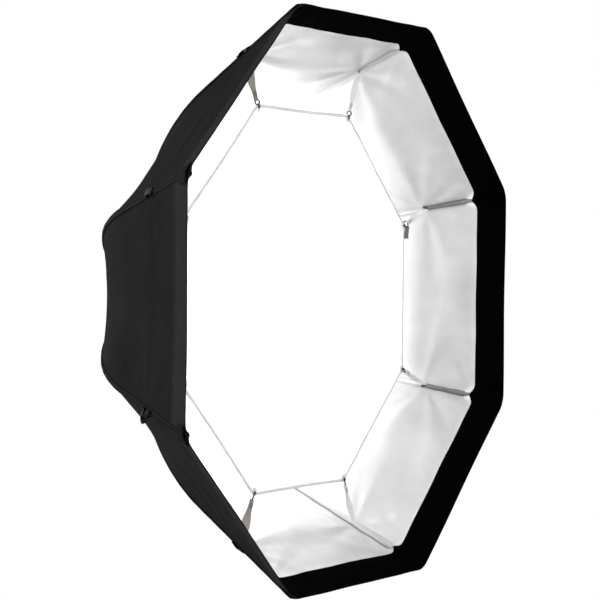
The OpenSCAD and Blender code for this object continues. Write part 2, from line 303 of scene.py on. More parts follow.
def noise(nt, vector, scale, detail=4, rough=0.55):
    n = nt.nodes.new("ShaderNodeTexNoise")
    n.inputs["Scale"].default_value = scale
    n.inputs["Detail"].default_value = detail
    n.inputs["Roughness"].default_value = rough
    nt.links.new(vector, n.inputs["Vector"])
    return n.outputs["Fac"]


def bump(nt, b, heights):
    """Chains bumps of (height socket, strength, distance) into the shader's normal."""
    last = None
    for h, strength, distance in heights:
        n = nt.nodes.new("ShaderNodeBump")
        n.inputs["Strength"].default_value = strength
        n.inputs["Distance"].default_value = distance
        nt.links.new(h, n.inputs["Height"])
        if last:
            nt.links.new(last, n.inputs["Normal"])
        last = n.outputs[0]
    nt.links.new(last, b.inputs["Normal"])


def cloth_material(name, low, high, rough, pitch, metallic=0.0, sheen=0.0, crinkle=0.3, spec=0.3):
    """Woven cloth: blotched colour, uneven roughness, soft crinkles and a weave of the given pitch."""
    m, nt, b, _ = new_material(name)
    b.inputs["Specular IOR Level"].default_value = spec
    b.inputs["Metallic"].default_value = metallic
    if sheen:
        b.inputs["Sheen Weight"].default_value = sheen
        b.inputs["Sheen Roughness"].default_value = 0.45
    obj = coords(nt)
    vary_colour(nt, b, noise(nt, obj, 9, 5, 0.6), low, high)
    vary_roughness(nt, b, noise(nt, obj, 60, 3, 0.6), rough - 0.07, rough + 0.07)
    bump(nt, b, [(noise(nt, obj, 28, 4, 0.55), crinkle, 0.0015), (weave(nt, pitch), 0.35, 0.0003)])
    return m


def fuzzy_material(name, low, high):
    """The black loop band: short matted pile."""
    m, nt, b, _ = new_material(name)
    b.inputs["Roughness"].default_value = 0.95
    b.inputs["Specular IOR Level"].default_value = 0.005
    obj = coords(nt)
    vary_colour(nt, b, noise(nt, obj, 35, 4, 0.6), low, high)
    bump(nt, b, [(noise(nt, obj, 60, 3, 0.5), 0.25, 0.001), (noise(nt, obj, 900, 2, 0.7), 0.6, 0.0004)])
    return m


def diffuser_material(name, low, high, through):
    """White nylon that lets some of the lamp's light through."""
    m, nt, b, out = new_material(name)
    b.inputs["Roughness"].default_value = 0.7
    b.inputs["Sheen Weight"].default_value = 0.15
    obj = coords(nt)
    vary_colour(nt, b, noise(nt, obj, 14, 4, 0.6), (low, low, low), (high, high, high * 0.995))
    bump(nt, b, [(noise(nt, obj, 20, 4, 0.5), 0.2, 0.002), (weave(nt, 0.0006), 0.3, 0.0002)])
    t = nt.nodes.new("ShaderNodeBsdfTranslucent")
    t.inputs["Color"].default_value = (0.9, 0.9, 0.9, 1)
    mix = nt.nodes.new("ShaderNodeMixShader")
    mix.inputs[0].default_value = through
    nt.links.new(b.outputs[0], mix.inputs[1])
    nt.links.new(t.outputs[0], mix.inputs[2])
    nt.links.new(mix.outputs[0], out.inputs[0])
    return m


def metal_material(name, low, high, rough, metallic=1.0, grain=(40, 40, 40)):
    """Metal with a fine uneven surface; grain stretches it into brushed lines."""
    m, nt, b, _ = new_material(name)
    b.inputs["Metallic"].default_value = metallic
    obj = coords(nt, grain)
    n = noise(nt, obj, 12, 6, 0.6)
    vary_colour(nt, b, n, low, high)
    vary_roughness(nt, b, n, rough - 0.08, rough + 0.1)
    bump(nt, b, [(noise(nt, obj, 30, 4, 0.6), 0.08, 0.0004)])
    return m


def plastic_material(name, low, high, rough, texture=0.2):
    """Moulded plastic or rubber with a fine spark texture."""
    m, nt, b, _ = new_material(name)
    obj = coords(nt)
    vary_colour(nt, b, noise(nt, obj, 90, 4, 0.6), low, high)
    vary_roughness(nt, b, noise(nt, obj, 200, 3, 0.6), rough - 0.08, rough + 0.08)
    bump(nt, b, [(noise(nt, obj, 1400, 2, 0.6), texture, 0.0002)])
    return m


MATS = {}


def grey(value):
    return value, value, value


def make_materials():
    M = MATS
    M["cover"] = cloth_material("cover_cloth", (0.0095, 0.0095, 0.0098), (0.015, 0.015, 0.0152), 0.85, 0.0008,
                                sheen=0.01, spec=0.01)
    M["lining"] = cloth_material("silver_lining", (0.52, 0.52, 0.525), grey(0.62), 0.45, 0.0009,
                                 metallic=0.5, crinkle=0.35)
    M["band"] = fuzzy_material("loop_band", grey(0.0004), grey(0.0009))
    # rod sleeves: a darker grey copy of the silver lining, painted shade
    M["sleeve"] = cloth_material("rod_sleeve_cloth_painted_shade", (0.44, 0.437, 0.43), (0.52, 0.516, 0.51), 0.6, 0.0009)
    # dark cords at the sleeve's feet: painted crease shadow
    M["painted_crease_shadow_cord"] = cloth_material("painted_crease_shadow_cord", (0.07, 0.068, 0.065), (0.12, 0.118, 0.114), 0.75, 0.0008)
    M["tape"] = cloth_material("seam_tape", (0.004, 0.004, 0.0042), (0.007, 0.007, 0.0072), 0.8, 0.0012,
                               crinkle=0.2, spec=0.02)
    M["thread"] = cloth_material("thread", grey(0.014), grey(0.024), 0.7, 0.0004, spec=0.1)
    # grey webbing for the strap's loose end; on the sleeves of ribs 1 and 8 the same grey is painted shade
    M["grey_web_and_sleeve_shade"] = cloth_material("grey_webbing_and_sleeve_shade", (0.16, 0.155, 0.15), (0.24, 0.235, 0.23), 0.75, 0.0014)
    M["web_white"] = cloth_material("white_webbing", (0.82, 0.815, 0.8), (0.88, 0.875, 0.86), 0.75, 0.0016,
                                    crinkle=0.2)
    # a darker, warmer copy of the white webbing: painted shade on the straps of ribs 3 and 6
    M["web_white_painted_shade"] = cloth_material("white_webbing_painted_shade", (0.31, 0.286, 0.26), (0.39, 0.362, 0.335), 0.75, 0.0016,
                                    crinkle=0.2)
    M["web_black"] = cloth_material("black_webbing", grey(0.003), grey(0.007), 0.75, 0.0016,
                                    crinkle=0.2, spec=0.1)
    # the outside over the band, lighter than the cover: painted highlight along the front edge
    M["cover_hem_painted_highlight"] = cloth_material("cover_hem_painted_highlight", (0.024, 0.024, 0.0235), (0.034, 0.034, 0.033), 0.85, 0.0008,
                                    spec=0.01)
    M["diffuser"] = diffuser_material("diffuser_cloth", 0.86, 0.93, 0.5)
    M["hem"] = diffuser_material("diffuser_hem", 0.74, 0.8, 0.38)
    M["alu"] = metal_material("mount_aluminium", (0.55, 0.55, 0.57), (0.68, 0.68, 0.70), 0.36,
                              grain=(30, 160, 30))
    M["steel"] = metal_material("steel", (0.42, 0.42, 0.43), (0.6, 0.6, 0.61), 0.3)
    M["brass"] = metal_material("brass", (0.55, 0.41, 0.2), (0.72, 0.56, 0.3), 0.32)
    M["ring_black"] = metal_material("black_anodised", (0.025, 0.025, 0.027), (0.045, 0.045, 0.048), 0.42,
                                     metallic=0.7)
    M["gun"] = metal_material("snap_ring", (0.045, 0.045, 0.047), (0.09, 0.09, 0.095), 0.38)
    M["liner"] = plastic_material("nylon_liner", (0.62, 0.6, 0.54), (0.72, 0.7, 0.64), 0.5)
    M["rubber"] = plastic_material("neoprene", grey(0.012), grey(0.022), 0.8, 0.4)
    M["knob"] = plastic_material("knob_plastic", (0.014, 0.014, 0.015), (0.028, 0.028, 0.029), 0.5, 0.35)
    M["rod"] = plastic_material("fibre_rod", (0.016, 0.016, 0.017), (0.034, 0.034, 0.035), 0.3, 0.15)
    M["cap"] = plastic_material("rib_cap", (0.016, 0.016, 0.017), grey(0.03), 0.45, 0.25)


# ---- mesh helpers -------------------------------------------------------------
def make_object(name, verts, faces, mats, face_mats=None, uvs=None):
    """A smooth mesh object from millimetre vertices in the frame's axes; uvs are in millimetres too."""
    me = bpy.data.meshes.new(name)
    me.from_pydata((np.asarray(verts, float) * MM).tolist(), [], faces)
    for m in mats:
        me.materials.append(MATS[m])
    if face_mats is not None:
        me.polygons.foreach_set("material_index", np.asarray(face_mats, np.int32))
    me.polygons.foreach_set("use_smooth", np.full(len(me.polygons), True))
    if uvs is not None:
        layer = me.uv_layers.new(name="cloth")
        idx = loop_vertices(me)
        layer.data.foreach_set("uv", (np.asarray(uvs, float) * MM)[idx].astype(np.float32).ravel())
    me.update()
    o = bpy.data.objects.new(name, me)
    bpy.context.collection.objects.link(o)
    return o


def loop_vertices(me):
    """The vertex of each face corner."""
    idx = np.zeros(len(me.loops), np.int32)
    me.loops.foreach_get("vertex_index", idx)
    return idx


def grid_faces(rows, cols, start=0, flip=False, closed=False):
    faces = []
    for i in range(rows - 1):
        for j in range(cols if closed else cols - 1):
            a = start + i * cols + j
            b = start + i * cols + (j + 1) % cols
            c, d = b + cols, a + cols
            faces.append((a, d, c, b) if flip else (a, b, c, d))
    return faces


def path_frames(path, up):
    """Unit directions to the side and the top at each point, and the distance run."""
    t = np.gradient(path, axis=0)
    t /= np.linalg.norm(t, axis=1)[:, None]
    side = np.cross(t, up)
    side /= np.linalg.norm(side, axis=1)[:, None]
    run = np.concatenate([[0], np.cumsum(np.linalg.norm(np.diff(path, axis=0), axis=1))])
    return side, np.cross(side, t), run


def end_caps(rings, sides):
    last = (rings - 1) * sides
    return [tuple(range(sides))[::-1], tuple(last + k for k in range(sides))]


def sweep(path, radii, sides=12, up=(0, 0, 1), caps=True):
    """A round cord along a path; radii is one number or one for each point. Returns verts, faces, uvs."""
    p = np.asarray(path, float)
    r = np.broadcast_to(np.asarray(radii, float), len(p))[:, None]
    side, top, run = path_frames(p, up)
    a = np.linspace(0, 2 * np.pi, sides, endpoint=False)
    verts = (p[:, None] + side[:, None] * (r * np.cos(a))[..., None]
             + top[:, None] * (r * np.sin(a))[..., None]).reshape(-1, 3)
    faces = grid_faces(len(p), sides, closed=True)
    if caps:
        faces += end_caps(len(p), sides)
    uv = np.stack(np.broadcast_arrays(run[:, None], (np.mean(r) * a)[None, :]), -1).reshape(-1, 2)
    return verts, faces, uv


class Pile:
    """Collects several meshes into one object."""

    def __init__(self):
        self.v, self.f, self.m, self.uv, self.n = [], [], [], [], 0

    def add(self, verts, faces, uv=None, mat=0):
        verts = np.asarray(verts, float)
        self.v.append(verts)
        self.f += [tuple(k + self.n for k in f) for f in faces]
        self.m += [mat] * len(faces)
        self.uv.append(np.zeros((len(verts), 2)) if uv is None else np.asarray(uv, float))
        self.n += len(verts)

    def object(self, name, mats):
        return make_object(name, np.vstack(self.v), self.f, mats, self.m, np.vstack(self.uv))


def fix_normals(o):
    bm = bmesh.new()
    bm.from_mesh(o.data)
    bmesh.ops.recalc_face_normals(bm, faces=bm.faces)
    bm.to_mesh(o.data)
    bm.free()
    return o


def sharp(o, angle=35):
    """Smooth shading that breaks at edges sharper than angle."""
    bm = bmesh.new()
    bm.from_mesh(o.data)
    for e in bm.edges:
        e.smooth = len(e.link_faces) == 2 and e.calc_face_angle(0) < math.radians(angle)
    bm.to_mesh(o.data)
    bm.free()
    return o


# ---- cover --------------------------------------------------------------------
NS, NF = 92, 25
BAND_ROW = 10
COVER, LINING, LOOP_BAND, COVER_HEM_HIGHLIGHT, THREAD = range(5)
CALM = {1: 0.42, 2: 0.75, 3: 0.4, 4: 0.25, 5: 0.35, 6: 0.6, 7: 0.5, 8: 0.33}


def cloth_rows():
    """Distances along the rib line: even over the band, then wider towards the hub."""
    q = np.linspace(0, 1, NS - BAND_ROW)[1:]
    behind = BAND + (LINE - BAND) * (0.72 * q + 0.28 * q ** 2)
    return np.concatenate([np.linspace(0, BAND, BAND_ROW + 1), behind])


def wrinkle(panel, s, u):
    """Height of the cloth's folds off the sagged panel, in millimetres; nought along the ribs."""
    rng = np.random.default_rng(500 + panel)
    half_w = line_x(s) * sin(HALF)
    z = u * half_w
    edge = half_w - np.abs(z)
    h = np.zeros_like(z)
    for side in (-1, 1):
        # folds that fan out from the strap's seam on the rib
        for s0, size, power in ((LOOP_S + 2 + rng.uniform(-8, 8), 1.0, 4.2), (BAND, 0.7, 1.8)):
            dz = (half_w * side - z) * side
            ds = s - s0
            r = np.hypot(dz, ds) + 1e-6
            th = np.arctan2(ds, dz)
            k = rng.uniform(7, 10)
            fan = np.cos(k * th + rng.uniform(0, 6.28)) * 0.6
            fan = fan + np.cos(k * 1.7 * th + rng.uniform(0, 6.28)) * 0.4
            reach = 95 * size
            h += power * fan * (r / reach) * np.exp(1 - r / reach) * 0.62 * smooth(0, 26, edge)
    # slack swells
    for _ in range(4):
        lz, ls = rng.uniform(170, 300), rng.uniform(220, 420)
        h += rng.uniform(0.5, 1.2) * np.sin(2 * np.pi * z / lz + rng.uniform(0, 6.28)) * np.sin(
            2 * np.pi * s / ls + rng.uniform(0, 6.28)) * smooth(0, 60, edge)
    # long pulls from rib to hub
    for _ in range(3):
        c = rng.uniform(-0.75, 0.75)
        pull = rng.uniform(-1.6, 1.6) * np.exp(-((u - c) / rng.uniform(0.05, 0.11)) ** 2)
        h += pull * smooth(330, 520, s) * (1 - smooth(700, 760, s)) * smooth(0, 12, edge)
    # puckers along the front hem's stitching
    ph = rng.uniform(0, 6.28)
    pucker = np.sin(z / 8.5 + ph + 1.5 * np.sin(z / 47))
    h += 0.55 * pucker * np.exp(-((s - BAND) / 16) ** 2) * smooth(0, 14, edge)
    h += 0.8 * np.sin(z / 31 + ph) * np.exp(-s / 40) * smooth(0, 40, edge)
    # puckers along the rib seams
    h += 0.5 * np.sin(s / 7.5 + 2 * np.sin(s / 60) + ph) * np.exp(-((edge - 14) / 9) ** 2) * smooth(20, 90, s)
    # gathers at the hub
    h += 1.1 * np.sin(u * 15 + ph) * smooth(640, 760, s) * smooth(0, 6, edge)
    return h * CALM[panel] * (0.45 + 0.55 * smooth(60, 150, s))


def cloth_points(panel, S, U, off=0.0, extra=0.0):
    """Points of a panel, off inside its outer face, in its own frame; U runs from rib to rib."""
    th = slope(S)
    px = line_x(S) - off * cos(th) / cos(HALF)
    py = line_y(S) - off * sin(th)
    d = -SAG * sin(180 * S / LINE) * (1 - U * U) + wrinkle(panel, S, U) + extra
    wave = 1.1 * np.sin(3.1 * U + panel) * (1 - U * U) * np.exp(-S / 25)
    edge = px * sin(HALF) * (1 - np.abs(U))
    cut = 1 - corner_cut(S, edge) / px
    return np.stack([px * cut * cos(HALF) + d * cos(th), py + d * sin(th) + wave,
                     U * px * cut * sin(HALF)], -1)


def corner_cut(s, edge):
    """How far the front corners are rounded off towards the axis, in millimetres."""
    return 4.2 * np.clip(1 - edge / 20, 0, 1) ** 2 * np.exp(-np.asarray(s, float) / 8)


def panel_grid(panel, off=0.0, inside=False):
    """Points and normals of a whole panel: rows along the rib line, columns from rib to rib."""
    q = np.linspace(0, 1, NF) ** 1.35
    u = np.concatenate([q - 1, 1 - q[::-1][1:]])
    S, U = np.meshgrid(cloth_rows(), u, indexing="ij")
    extra = 0.0
    if inside:
        # the band's rear edge runs back along the rod pockets at both ribs
        edge = line_x(S) * sin(HALF) * (1 - np.abs(U))
        back = 13 * np.exp(-(edge / 13) ** 2) + 0.5 * np.sin(U * 9 + panel) * (1 - U * U)
        S = S + back * smooth(0, BAND, S) * (1 - smooth(BAND, BAND + 120, S))
        extra = band_extra(S, edge)
    pts = cloth_points(panel, S, U, off, extra)
    th = slope(S)
    du = np.gradient(pts, axis=1)
    ds = np.gradient(pts, axis=0)
    n = np.cross(ds, du)
    n /= np.linalg.norm(n, axis=-1)[..., None]
    if (n[..., 0] * cos(th) + n[..., 1] * sin(th)).mean() < 0:
        n = -n
    uv = np.stack([U * line_x(S) * sin(HALF), S], -1)
    return pts, n, uv, U


def band_extra(S, edge):
    """The lining side swells over the rod pockets at the front corners and over the band's doubled edge."""
    row = np.arange(NS)[:, None]
    pocket = 1 - smooth(BAND_ROW - 1, BAND_ROW + 3, row)
    return -10.0 * np.exp(-(edge / 12) ** 2) * pocket * smooth(-4, 8, S) - 0.8 * (row <= BAND_ROW)


def half_panel_faces():
    """Faces of a half panel's outside, inside and rim, and the material of each."""
    inside = NS * NF
    faces = grid_faces(NS, NF) + grid_faces(NS, NF, inside, flip=True)
    front, behind = BAND_ROW * (NF - 1), (NS - 1 - BAND_ROW) * (NF - 1)
    # the outside over the band takes the lighter hem colour: painted highlight along the front edge
    mats = [COVER_HEM_HIGHLIGHT] * front + [COVER] * behind + [LOOP_BAND] * front + [LINING] * behind
    for j in range(NF - 1):
        faces.append((j, inside + j, inside + j + 1, j + 1))
        b = (NS - 1) * NF + j
        faces.append((b, b + 1, inside + b + 1, inside + b))
    for k in range(NS - 1):
        a = k * NF
        faces.append((a, a + NF, inside + a + NF, inside + a))
        a += NF - 1
        faces.append((a, inside + a, inside + a + NF, a + NF))
    return faces, mats + [COVER] * (len(faces) - len(mats))


def build_panels():
    """Each panel as two half panels: a from its own rib to the middle line, b from there to the next rib."""
    cloth_faces, cloth_mats = half_panel_faces()
    halves = (("a", -1, slice(0, NF)), ("b", 1, slice(NF - 1, 2 * NF - 1)))
    for p in range(1, SIDES + 1):
        outer, n_out, uv_out, U = panel_grid(p)
        inner, n_in, uv_in, _ = panel_grid(p, CLOTH_THICK, True)
        for tag, side, cols in halves:
            rib = p if tag == "a" else p % SIDES + 1
            sewn, sewn_faces, sewn_share = hem_stitches(p, side)
            verts = np.concatenate([outer[:, cols].reshape(-1, 3), inner[:, cols].reshape(-1, 3), sewn])
            normals = np.concatenate([n_out[:, cols].reshape(-1, 3), -n_in[:, cols].reshape(-1, 3), 0 * sewn])
            uvs = np.concatenate([uv_out[:, cols].reshape(-1, 2), uv_in[:, cols].reshape(-1, 2),
                                  np.zeros((len(sewn), 2))])
            first = 2 * NS * NF
            faces = cloth_faces + [tuple(k + first for k in f) for f in sewn_faces]
            mats = cloth_mats + [THREAD] * len(sewn_faces)
            ob = make_object(f"cover_{rib}{tag}", turn(verts, STEP * p), faces,
                             ["cover", "lining", "band", "cover_hem_painted_highlight", "thread"], mats, uvs)
            fix_normals(ob)
            give_normals(ob, turn(normals, STEP * p))
            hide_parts(f"panel_{rib}{tag}")
            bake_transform(ob)


def hem_stitches(panel, side):
    """The two rows of stitches that hold the loop band, on the outside of one half of a panel, and each
    vertex's share of the pleat."""
    pile, share = Pile(), []
    off = np.array([0.2, -0.25, -0.25, 0.2])
    for row in (BAND - 3.5, BAND - 8.5):
        half_w = float(line_x(row)) * sin(HALF)
        for z in np.arange(12, half_w - 3, STITCH_STEP):
            u = side * (1 - (z + np.array(STITCH_RUN)) / half_w)
            path = cloth_points(panel, np.full(4, row), u, off)
            v, f, _ = sweep(path, 0.36, 5, up=(0, 1, 0.01), caps=False)
            pile.add(v, f)
            share.append(np.full(len(v), 1 - abs(u).mean()))
    return np.vstack(pile.v), pile.f, np.concatenate(share)


def give_normals(o, normals):
    """Sets the normals of both skins, so that half panels meet with no shading line. Other faces are flat."""
    me = o.data
    vertex = loop_vertices(me)
    loops = np.zeros((len(me.loops), 3))
    skins = 2 * (NS - 1) * (NF - 1)
    for poly in me.polygons:
        for k in poly.loop_indices:
            loops[k] = normals[vertex[k]] if poly.index < skins else poly.normal
    me.normals_split_custom_set(loops.tolist())


# ---- ribs ---------------------------------------------------------------------
def rib_line(s, inset):
    """Points on a rib's line at distances s, inset from the cover, in its own plane."""
    t = slope(s)
    return np.stack([line_x(s) - inset * cos(t), line_y(s) - inset * sin(t), np.zeros_like(t)], -1)


def rib_bar(name, n, s, radii, mat, crease):
    """A round bar along rib n's line."""
    v, f, uv = sweep(rib_line(s, RIB_INSET), radii, 16)
    o = fix_normals(make_object(name, turn(v, rib_angle(n)), f, [mat], uvs=uv))
    return sharp(o, crease)


def rod_cloth(n, part, s0, s1, mat):
    """Cloth drawn over the rod from s0 to s1. Returns the lines of its two feet."""
    v, f, uv, feet = ridge(np.linspace(s0, s1, int((s1 - s0) / 5)), part == "sleeve", n)
    o = make_object(f"rod_{part}_{n}", v, f, [mat], uvs=uv)
    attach(o, f"fold_{n}")
    return feet


def build_ribs():
    for n in range(1, SIDES + 1):
        ends = [TIP_GAP, TIP_GAP + 20], [LINE + HINGE_RUN - ROOT_GAP]
        s = np.concatenate([ends[0], np.linspace(60, LINE, 60), ends[1]])
        rod = rib_bar(f"rod_{n}", n, s, RIB_R, "rod", 35)
        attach(rod, f"fold_{n}")
        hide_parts(f"rib_{n}")
        # moulded cap on the rod's tip
        s, radii = np.array([7.2, 8.2, 10, 14, 30, 33, 34]), [1.4, 2.9, 3.7, 3.9, 3.8, 3.6, 3.1]
        cap = rib_bar(f"rib_cap_{n}", n, s, radii, "cap", 50)
        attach(cap, f"fold_{n}")
        # the sleeve runs from the band to the strap, or beyond it, and the lining's channel from there on
        last = LONG_SLEEVE_TO if n == LONG_SLEEVE else SLEEVE_TO
        rod_cloth(n, "channel", last + CHANNEL_GAP.get(n, 10), LINE - CHANNEL_END, "lining")
        feet = rod_cloth(n, "sleeve", SLEEVE_FROM, last, SLEEVE_SHADE_CLOTH.get(n, "sleeve"))
        # dark cord at each foot of the sleeve, a painted crease shadow along the ridge
        pile = Pile()
        for foot in feet:
            pile.add(*sweep(foot, CREASE_SHADOW_CORD_R.get(n, 0.8), 8, up=(0, 1, 0.01)))
        seam = fix_normals(pile.object(f"sleeve_crease_shadow_{n}", [CREASE_SHADOW_CORD.get(n, "painted_crease_shadow_cord")]))
        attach(seam, f"fold_{n}")


def ridge(s, front, n):
    """A strip of cloth drawn over the rod's inner side, and the lines of its two feet."""
    cols = 21
    rng = np.random.default_rng(31 + n)
    ph = rng.uniform(0, 6.28, 3)
    b = np.linspace(-1, 1, cols)
    S, B = np.meshgrid(s, b, indexing="ij")
    a = rib_angle(n)
    wide = 8.5
    if front:
        flare, near, far = 1.0 if n in NARROW_SLEEVES else 2.4, 75, 165
        if n == LONG_SLEEVE:
            flare, near, far = 6.4, 80, 400
        wide = 4.6 + flare * (1 - smooth(near, far, S))
    wide = wide + 0.3 * np.sin(S / 9 + ph[0])
    Z = wide * B
    half_w = line_x(S) * sin(HALF)
    share = 1 - np.abs(Z) / half_w
    low = turn(cloth_points((n - 2) % SIDES + 1, S, share, CLOTH_THICK), a - HALF)
    high = turn(cloth_points(n, S, -share, CLOTH_THICK), a + HALF)
    p = np.where((B < 0)[..., None], low, high)
    t = slope(S)
    inward = turn(np.stack([-cos(t), -sin(t), 0 * t], -1), a)
    rise = 8.8 + (1.6 * (1 - smooth(75, 130, S)) if front else 0)
    lift = 0.5 + rise * np.clip(1 - (np.abs(Z) / (0.93 * wide)) ** 2, 0, 1) ** (0.6 if front else 1.25)
    lift = lift + 0.3 * np.sin(S / 5.3 + 2.2 * B + ph[1]) * (1 - np.abs(B))
    p = p + inward * lift[..., None]
    feet = [p[:, 0] + inward[:, 0] * 0.5, p[:, -1] + inward[:, -1] * 0.5]
    return p.reshape(-1, 3), grid_faces(len(s), cols), np.stack([Z, S], -1).reshape(-1, 2), feet


def tape_half(s):
    """Half the seam tape's width, which narrows towards the hub."""
    return TAPE_HALF * min(1, 0.45 + 0.55 * float(line_x(s)) / 200)


def seam_point(s, z, height, drop):
    """A point over a rib's seam, z to its side, raised by height and dropped towards the axis."""
    t = float(slope(s))
    return rib_line(np.array([s]), 0)[0] + np.array([cos(t) * height - drop, sin(t) * height, z])


def seam_tape(n, a):
    """The tape that binds two panels over a rib."""
    s = np.linspace(0.5, LINE - 1, 150)
    across = np.array([-1, -0.97, -0.85, -0.6, -0.3, -0.1, 0, 0.1, 0.3, 0.6, 0.85, 0.97, 1])
    heights = np.array([-0.3, 0.9, 1.1, 1.0, 1.1, 1.6, 1.8, 1.6, 1.1, 1.0, 1.1, 0.9, -0.3])
    v, uv = [], []
    for sk in s:
        for b, h in zip(across, heights):
            z = tape_half(sk) * b
            height = h + 0.15 * math.sin(sk / 7.5 + b) * (1 - b * b)
            drop = abs(z) * math.tan(math.radians(HALF)) + float(corner_cut(sk, abs(z)))
            v.append(seam_point(sk, z, height, drop))
            uv.append((z, sk))
    faces = grid_faces(len(s), len(across))
    tape = fix_normals(make_object(f"rib_tape_{n}", turn(v, a), faces, ["tape"], uvs=uv))
    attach(tape, f"fold_{n}")


def seam_stitches(n, a):
    """Two rows of stitches along the tape."""
    pile = Pile()
    for row in (-0.72, 0.72):
        for sk in np.arange(18, LINE - 8, STITCH_STEP):
            z = tape_half(sk) * row
            drop = abs(z) * math.tan(math.radians(HALF))
            path = [seam_point(sk + q, z, h, drop) for q, h in zip(STITCH_RUN, (1.0, 1.43, 1.43, 1.0))]
            v, f, uv = sweep(path, 0.33, 5, caps=False)
            pile.add(turn(v, a), f, uv)
    o = pile.object(f"rib_stitches_{n}", ["thread"])
    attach(o, f"fold_{n}")


def build_seams():
    for n in range(1, SIDES + 1):
        a = rib_angle(n)
        seam_tape(n, a)
        seam_stitches(n, a)
        outer_loop(n, a)
        corner_patch(n, a)


def ribbon(path, up, width, thick):
    """A flat strap along a path with rounded edges; up is its thickness direction."""
    p = np.asarray(path, float)
    side, top, run = path_frames(p, up)
    w, h = width / 2, thick / 2
    profile = [(-w, 0), (-w + 0.25, h * 0.8), (-w + 0.9, h), (-w * 0.5, h * 0.92), (0, h),
               (w * 0.5, h * 0.92), (w - 0.9, h), (w - 0.25, h * 0.8), (w, 0), (w - 0.25, -h * 0.8),
               (w - 0.9, -h), (0, -h), (-w + 0.9, -h), (-w + 0.25, -h * 0.8)]
    v = np.concatenate([[p[i] + side[i] * x + top[i] * y for x, y in profile] for i in range(len(p))])
    f = grid_faces(len(p), len(profile), closed=True) + end_caps(len(p), len(profile))
    return v, f, np.array([(x, r) for r in run for x, y in profile])


def outer_loop(n, a):
    """The webbing loop that lies along each rib's seam where the strap is sewn through."""
    q = np.linspace(-1, 1, 31)
    s = LOOP_S + LOOP_HALF * q
    t = slope(s)
    rise = np.clip(1 - (q / 0.62) ** 2, 0, 1) ** 0.6
    # one loop hangs open to the side
    hang = 13 if n == OPEN_LOOP else 0
    h = 2.2 + (hang or 1.8) * rise
    path = rib_line(s, 0) + np.stack([cos(t) * h, sin(t) * h, hang * rise], -1)
    v, f, uv = ribbon(path, np.stack([cos(t), sin(t), 0 * t], -1), LOOP_WIDE, 2.2)
    pile = Pile()
    pile.add(turn(v, a), f, uv)
    # bar tacks that hold it down
    z = np.linspace(-5.2, 5.2, 9)
    for end in (-0.9, -0.74, 0.74, 0.9):
        line = rib_line(np.full(len(z), LOOP_S + LOOP_HALF * end), -2.9) + np.stack([0 * z, 0 * z, z], -1)
        v, f, uv = sweep(line, 0.55, 6, up=(1, 0, 0))
        pile.add(turn(v, a), f, uv, 1)
    o = fix_normals(pile.object(f"seam_loop_{n}", ["web_black", "thread"]))
    sharp(o, 60)
    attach(o, f"fold_{n}")


def corner_patch(n, a):
    """A doubled patch over the front corner, where the rod's pocket is sewn."""
    rows, cols, last, half = 13, 17, 34.3, 21
    first, thick = (1.0, 1.7) if n in THICK_PATCHES else (5.0, 1.3)
    v, uv = [], []
    for i in range(rows):
        s = first + (last - first) * i / (rows - 1)
        for b in np.linspace(-1, 1, cols):
            z = half * (1 - 0.25 * (i / (rows - 1)) ** 2) * b
            edge = min(1 - abs(b), min(i, rows - 1 - i) / (rows - 1) * 1.6)
            h = -0.4 + thick * min(1, edge / 0.12) + 1.1 * math.exp(-(b / 0.22) ** 2)
            drop = (math.hypot(z, 7) - 4.6) * math.tan(math.radians(HALF)) - 1.0
            v.append(seam_point(s, z, h, drop + 0.6 * float(corner_cut(s, abs(z)))))
            uv.append((z, s))
    o = fix_normals(make_object(f"corner_patch_{n}", turn(v, a), grid_faces(rows, cols), ["tape"], uvs=uv))
    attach(o, f"fold_{n}")


# ---- inner diffuser ---------------------------------------------------------------
def diffuser_height(x, z):
    """Slack of the inner diffuser along Y at a point of its plane: it sags a little and pulls at its
    corners."""
    r = np.hypot(x, z)
    a = np.degrees(np.arctan2(z, x))
    rel = (a - HALF + STEP / 2) % STEP - STEP / 2
    pull = np.exp(-((DIFF_R - r) / 90) ** 2)
    return (2.2 * (1 - (r / DIFF_R) ** 2)
            + 1.3 * np.cos(np.radians(rel) * 46) * pull * np.exp(-(rel / 9) ** 2)
            + 0.8 * np.sin(x / 61 + 1.3) * np.sin(z / 73 + 0.4) * smooth(0, 60, DIFF_R - r))


def diffuser_points(a, share, across, lift):
    """Points of the sector at azimuth a, at shares of the way from the axis to the edge, which is pulled in
    a little between corners; across runs from -1 to 1."""
    rel = across * HALF
    edge = DIFF_R * cos(HALF) / cos(HALF - np.abs(rel)) - 1.5 * np.sin(np.pi * np.abs(across) / 2) ** 2
    r = share * edge
    p = turn(np.stack([r * cos(rel), np.zeros_like(r), r * sin(rel)], -1), a)
    p[..., 1] = DIFF_Y - diffuser_height(p[..., 0], p[..., 2]) + lift
    return p


def diffuser_normals(x, z, e=0.01):
    """Normals of the slack cloth, which agree where two sectors meet."""
    gx = (diffuser_height(x + e, z) - diffuser_height(x - e, z)) / (2 * e)
    gz = (diffuser_height(x, z + e) - diffuser_height(x, z - e)) / (2 * e)
    return np.stack([-gx, -np.ones_like(gx), -gz], -1).reshape(-1, 3)


